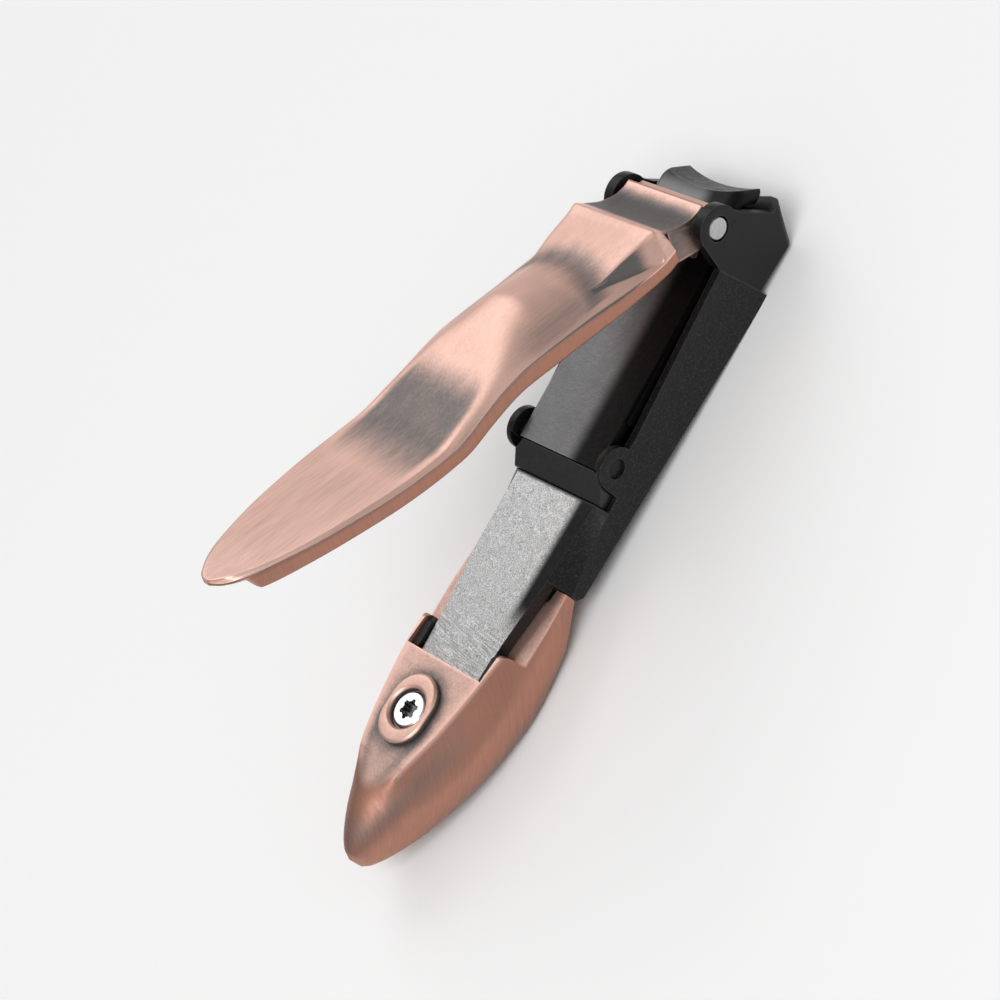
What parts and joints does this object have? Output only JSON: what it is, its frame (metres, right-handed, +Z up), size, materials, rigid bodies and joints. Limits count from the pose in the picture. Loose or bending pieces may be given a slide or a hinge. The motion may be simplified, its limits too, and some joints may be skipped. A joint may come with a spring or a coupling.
{
  "type": "nail clipper",
  "caption": "Nail clipper with a raised copper-look lever over two curved blades, a dark clippings catcher and a boat-shaped tail cap.",
  "frame": {"origin": "centre of the footprint, at the level of the surface the clipper rests on", "axes": "+X towards the cutting jaws, +Y across the width, +Z up; the lever is stored raised"},
  "size_m": [0.0864, 0.0176, 0.0448],
  "materials": {
    "blackened_steel": "smooth matt black with bright rubbed edges",
    "satin_steel": "grey grainy satin steel",
    "bright_steel": "bright polished steel",
    "dark_bar": "smooth dark coating",
    "speckled_black": "black coating with a fine glittery speckle",
    "spring_steel": "plain spring steel",
    "antique_copper": "brushed antique copper plating with dark patina in the hollows",
    "liner_black": "matt black moulding",
    "insert_brass": "turned brass"
  },
  "bodies": {
    "base": {"lower_jaw": "blackened_steel", "lever_pin": "bright_steel", "hinge_pins": "bright_steel", "heel_bar": "dark_bar", "catcher_housing": "speckled_black", "leaf_spring": "spring_steel", "spring_rivet": "bright_steel", "tail_cap": "antique_copper", "cap_liner": "liner_black", "screw_ring": "antique_copper", "tail_screw": "bright_steel", "threaded_insert": "insert_brass"},
    "upper_jaw": {"upper_jaw": "satin_steel"},
    "lever": {"lever": "antique_copper"}
  },
  "joints": [
    {"name": "lever_press", "type": "hinge", "parent": "base", "child": "lever", "pos_m": [0.03636, 0, 0.0117], "axis": [0, 1, 0], "range_deg": [-26.5, 0]},
    {"name": "jaw_close", "type": "hinge", "parent": "base", "child": "upper_jaw", "pos_m": [0.00844, 0, 0.00786], "axis": [0, 1, 0], "range_deg": [0, 2.26], "stiffness_Nm_per_rad": 2.6, "springref_deg": -2.12, "deforming": ["leaf_spring"]}
  ],
  "couplings": [
    {"joint": "jaw_close", "follows": "lever_press", "ratio": -0.085}
  ]
}
